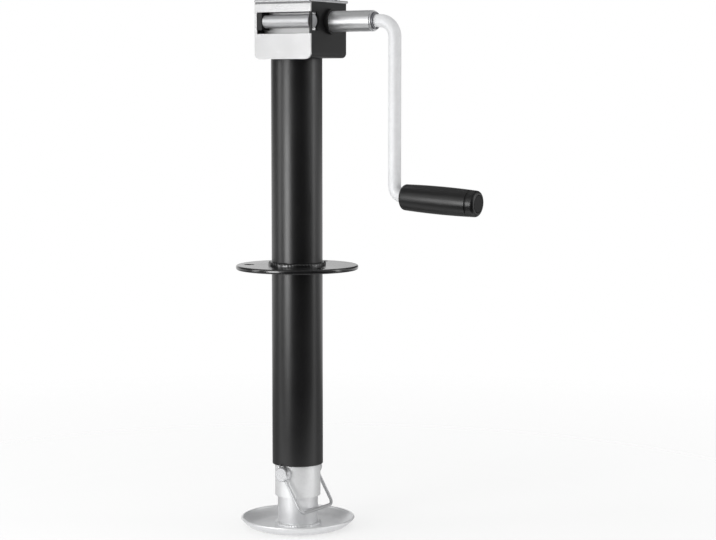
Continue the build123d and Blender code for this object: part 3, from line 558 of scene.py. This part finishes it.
def lid_screw_tops():
    """Four pan heads with cross recesses, on their shanks.

    The head's height is a quarter of a superellipse, (1 - (r/R)^4)^(1/2), on a low skirt, less
    the recess, whose depth is full where either arm of the cross covers the point and falls off
    over a narrow slope.
    """
    head_radius, shank_radius, shank_length, shank_ease = 4.5 * MM, 2.5 * MM, 9 * MM, 0.3 * MM
    overhang, inset_x, inset_y, sink = 1 * MM, 11 * MM, 8 * MM, 0.02 * MM
    share = np.r_[0, np.linspace(0.04, 1, 34)][:, None]
    angle = angles(96)[None, :]
    x, y = share * np.cos(angle) * head_radius, share * np.sin(angle) * head_radius
    dome = 0.45 + 0.55 * np.sqrt(np.clip(1 - share**4, 0, 1)) + 0 * angle

    def arm(along, across):
        end = np.clip((2.5 * MM - np.abs(along)) / (0.7 * MM), 0, 1)
        side = np.clip((0.55 * MM - np.abs(across)) / (0.2 * MM), 0, 1)
        return end * side

    recess = np.maximum(arm(x, y), arm(y, x))
    seat = LID_HIGH.z
    z = seat + (LID_SCREWS_HIGH.z - seat) * dome * (1 - 0.62 * recess)
    skirt = np.stack([x[-1], y[-1], 0 * x[-1] + seat - sink], axis=-1)[None]
    under = 0 * skirt + (0, 0, seat - sink)
    head = np.vstack([np.stack([x, y, z], axis=-1), skirt, under])
    end, neck = (shank_radius, 0, shank_ease), (shank_radius, shank_length, 0)
    shank = turned(rounded([(0, 0, 0), end, neck, (0, shank_length, 0)]), 32)
    shank[..., 2] += LID_SCREWS_LOW.z
    reach_x, reach_y = overhang + inset_x, overhang + inset_y
    grids = []
    for place_x in (LID_LOW.x + reach_x, LID_HIGH.x - reach_x):
        for place_y in (LID_LOW.y + reach_y, LID_HIGH.y - reach_y):
            place = (place_x, place_y, 0)
            grids += [(head + place, False), (shank + place, False)]
    piece("lid_screws_dressed", grids, "frame", "screw_zinc", ["lid_screws"])


top_lid_skin()
outer_tube_skin()
flange_skin()
threaded_screw()
welds()
lid_screw_tops()


# Studio


CAMERA_TURN = math.radians(33.02)   # from the jack's front towards the crank's side
CAMERA_YAW = math.radians(1.79)     # to the right, which puts the jack left of the middle
CAMERA_PITCH = math.radians(5.36)
CAMERA_DISTANCE = 2.18
CAMERA_HEIGHT = 0.496
FOCAL_LENGTH, PICTURE_WIDTH = 1953.5, 716   # in pixels
SENSOR_WIDTH = 36.0
TOWARDS_CAMERA = Vector((math.sin(CAMERA_TURN), -math.cos(CAMERA_TURN), 0))

# Each lamp's name, turn from the camera's side in degrees, distance, height, width, tallness
# and power
LAMPS = (
    ("left_strip", -45, 1.4, 0.32, 0.54, 0.62, 7),
    ("left_wide", -83, 1.5, 0.62, 0.4, 1.2, 3.4),
    ("right_strip", 81, 1.6, 0.6, 0.3, 1.2, 2.4),
    ("top_box", -150, 0.4, 2.3, 2.2, 2.2, 5),
)
LAMPS_AIM = Vector((0, 0, 0.3))


def camera():
    lens = bpy.data.cameras.new("camera")
    lens.sensor_width = SENSOR_WIDTH
    lens.lens = FOCAL_LENGTH / PICTURE_WIDTH * SENSOR_WIDTH
    made = bpy.data.objects.new("camera", lens)
    made.location = TOWARDS_CAMERA * CAMERA_DISTANCE + Vector((0, 0, CAMERA_HEIGHT))
    made.rotation_euler = (math.radians(90) - CAMERA_PITCH, 0, CAMERA_TURN - CAMERA_YAW)
    bpy.context.scene.collection.objects.link(made)
    bpy.context.scene.camera = made


def lamp(name, turn, distance, height, width, tall, power):
    """A soft box at an angle from the camera's side, facing the jack."""
    light = bpy.data.lights.new(name, "AREA")
    light.shape = "RECTANGLE"
    light.size, light.size_y = width, tall
    light.energy = power
    made = bpy.data.objects.new(name, light)
    angle = CAMERA_TURN + math.radians(turn)
    made.location = (math.sin(angle) * distance, -math.cos(angle) * distance, height)
    made.rotation_euler = (LAMPS_AIM - made.location).to_track_quat("-Z", "Y").to_euler()
    bpy.context.scene.collection.objects.link(made)


def floor():
    """A wide pale plane that keeps the jack's shadow.

    To the camera it is part matt paper and part clear, with the white backdrop behind it, so that
    the ram still shows where it is wound out below the floor. Reflections see it as a glow with
    painted shade, pale or dark by how far in front of the jack they meet it.
    """
    half, clear_share = 30, 0.6
    mesh = bpy.data.meshes.new("floor")
    corners = [(-half, -half, 0), (half, -half, 0), (half, half, 0), (-half, half, 0)]
    mesh.from_pydata(corners, [], [(0, 1, 2, 3)])
    made = bpy.data.objects.new("floor", mesh)
    bpy.context.scene.collection.objects.link(made)
    finish = new_finish("floor_paper")
    paper = finish.blend(finish.noise(900, 2), (0.92, 0.92, 0.92), (0.95, 0.95, 0.95))
    matt = finish.node("ShaderNodeBsdfDiffuse", {}, {"Color": paper})
    seen, through, gloss = finish.light_path("Camera", "Transmission", "Glossy")
    spot = finish.place()
    distance = finish.node("ShaderNodeVectorMath", {"operation": "LENGTH"}, {0: spot})
    distance = Reading(finish, distance.outputs["Value"])
    far = finish.ramp(distance * 0.5, (0.2, 0.0), (0.6, 1.0))
    # Painted shade for the floor's glow in reflections: pale close round the jack and far behind
    # it, grey up to 0.7 m behind, dark from about 0.3 m in front.
    behind = (-1.2, 1.0), (-0.7, 0.25), (-0.05, 0.3)
    before = (0.08, 1.0), (0.15, 1.0), (0.25, 0.25), (0.36, 0.03)
    painted_floor_light = finish.signed_ramp(finish.along(spot, TOWARDS_CAMERA), 2, *behind, *before)
    # A glow that reflections see, bright or dark as painted light by the ramp above; to the camera
    # it stays white.
    colour = finish.blend(gloss * (1 - painted_floor_light), (1, 1, 1), (0, 0, 0))
    white = finish.node("ShaderNodeEmission", {}, {"Color": colour, "Strength": 1.0})
    plain = finish.mixed(gloss, finish.node("ShaderNodeBsdfTransparent"), white)
    share = seen.largest(through) * (far * (1 - clear_share) + clear_share) + gloss
    surface = finish.mixed(share.clamped(), matt, plain)
    finish.node("ShaderNodeOutputMaterial", {}, {"Surface": surface.outputs[0]})
    made.data.materials.append(finish.owner)


def room():
    """Even light all round, and a white backdrop for the camera, gloss and glass.

    In reflections the walls are white right behind the jack, dark grey to both sides of that,
    pale at the front's sides and dark behind the camera. The ceiling is dark, as in a studio.
    """
    world = bpy.data.worlds.new("room")
    bpy.context.scene.world = world
    finish = Finish(world)
    seen, gloss, through = finish.light_path("Camera", "Glossy", "Transmission")
    direction = finish.node("ShaderNodeTexCoord").outputs["Generated"]
    darkest = TOWARDS_CAMERA.copy()
    darkest.rotate(Euler((0, 0, math.radians(14))))
    white_to_grey = (-0.98, 1.0), (-0.85, 0.1), (-0.4, 0.1), (-0.1, 0.4)
    pale_to_dark = (0.15, 0.9), (0.6, 0.9), (0.78, 0.4), (0.92, 0.03)
    walls = finish.signed_ramp(finish.along(direction, darkest), 1, *white_to_grey, *pale_to_dark)
    up = finish.node("ShaderNodeSeparateXYZ", {}, {0: direction}).outputs[2]
    dark_ceiling = finish.ramp(up, (0.5, 0.0), (0.66, 0.4), (0.82, 0.75), (0.95, 0.9))
    pale = (walls * (1 - dark_ceiling)).largest(seen)
    colour = finish.blend(pale, (0, 0, 0), (1, 1, 1))
    shown = finish.node("ShaderNodeBackground", {}, {"Color": colour, "Strength": 1.0})
    plain = finish.node("ShaderNodeBackground", {}, {"Color": (1, 1, 1, 1), "Strength": 0.8})
    surface = finish.mixed(seen.largest(gloss).largest(through), plain, shown)
    finish.node("ShaderNodeOutputWorld", {}, {"Surface": surface.outputs[0]})


camera()
floor()
room()
for settings in LAMPS:
    lamp(*settings)
bpy.context.scene.view_settings.view_transform = "Standard"
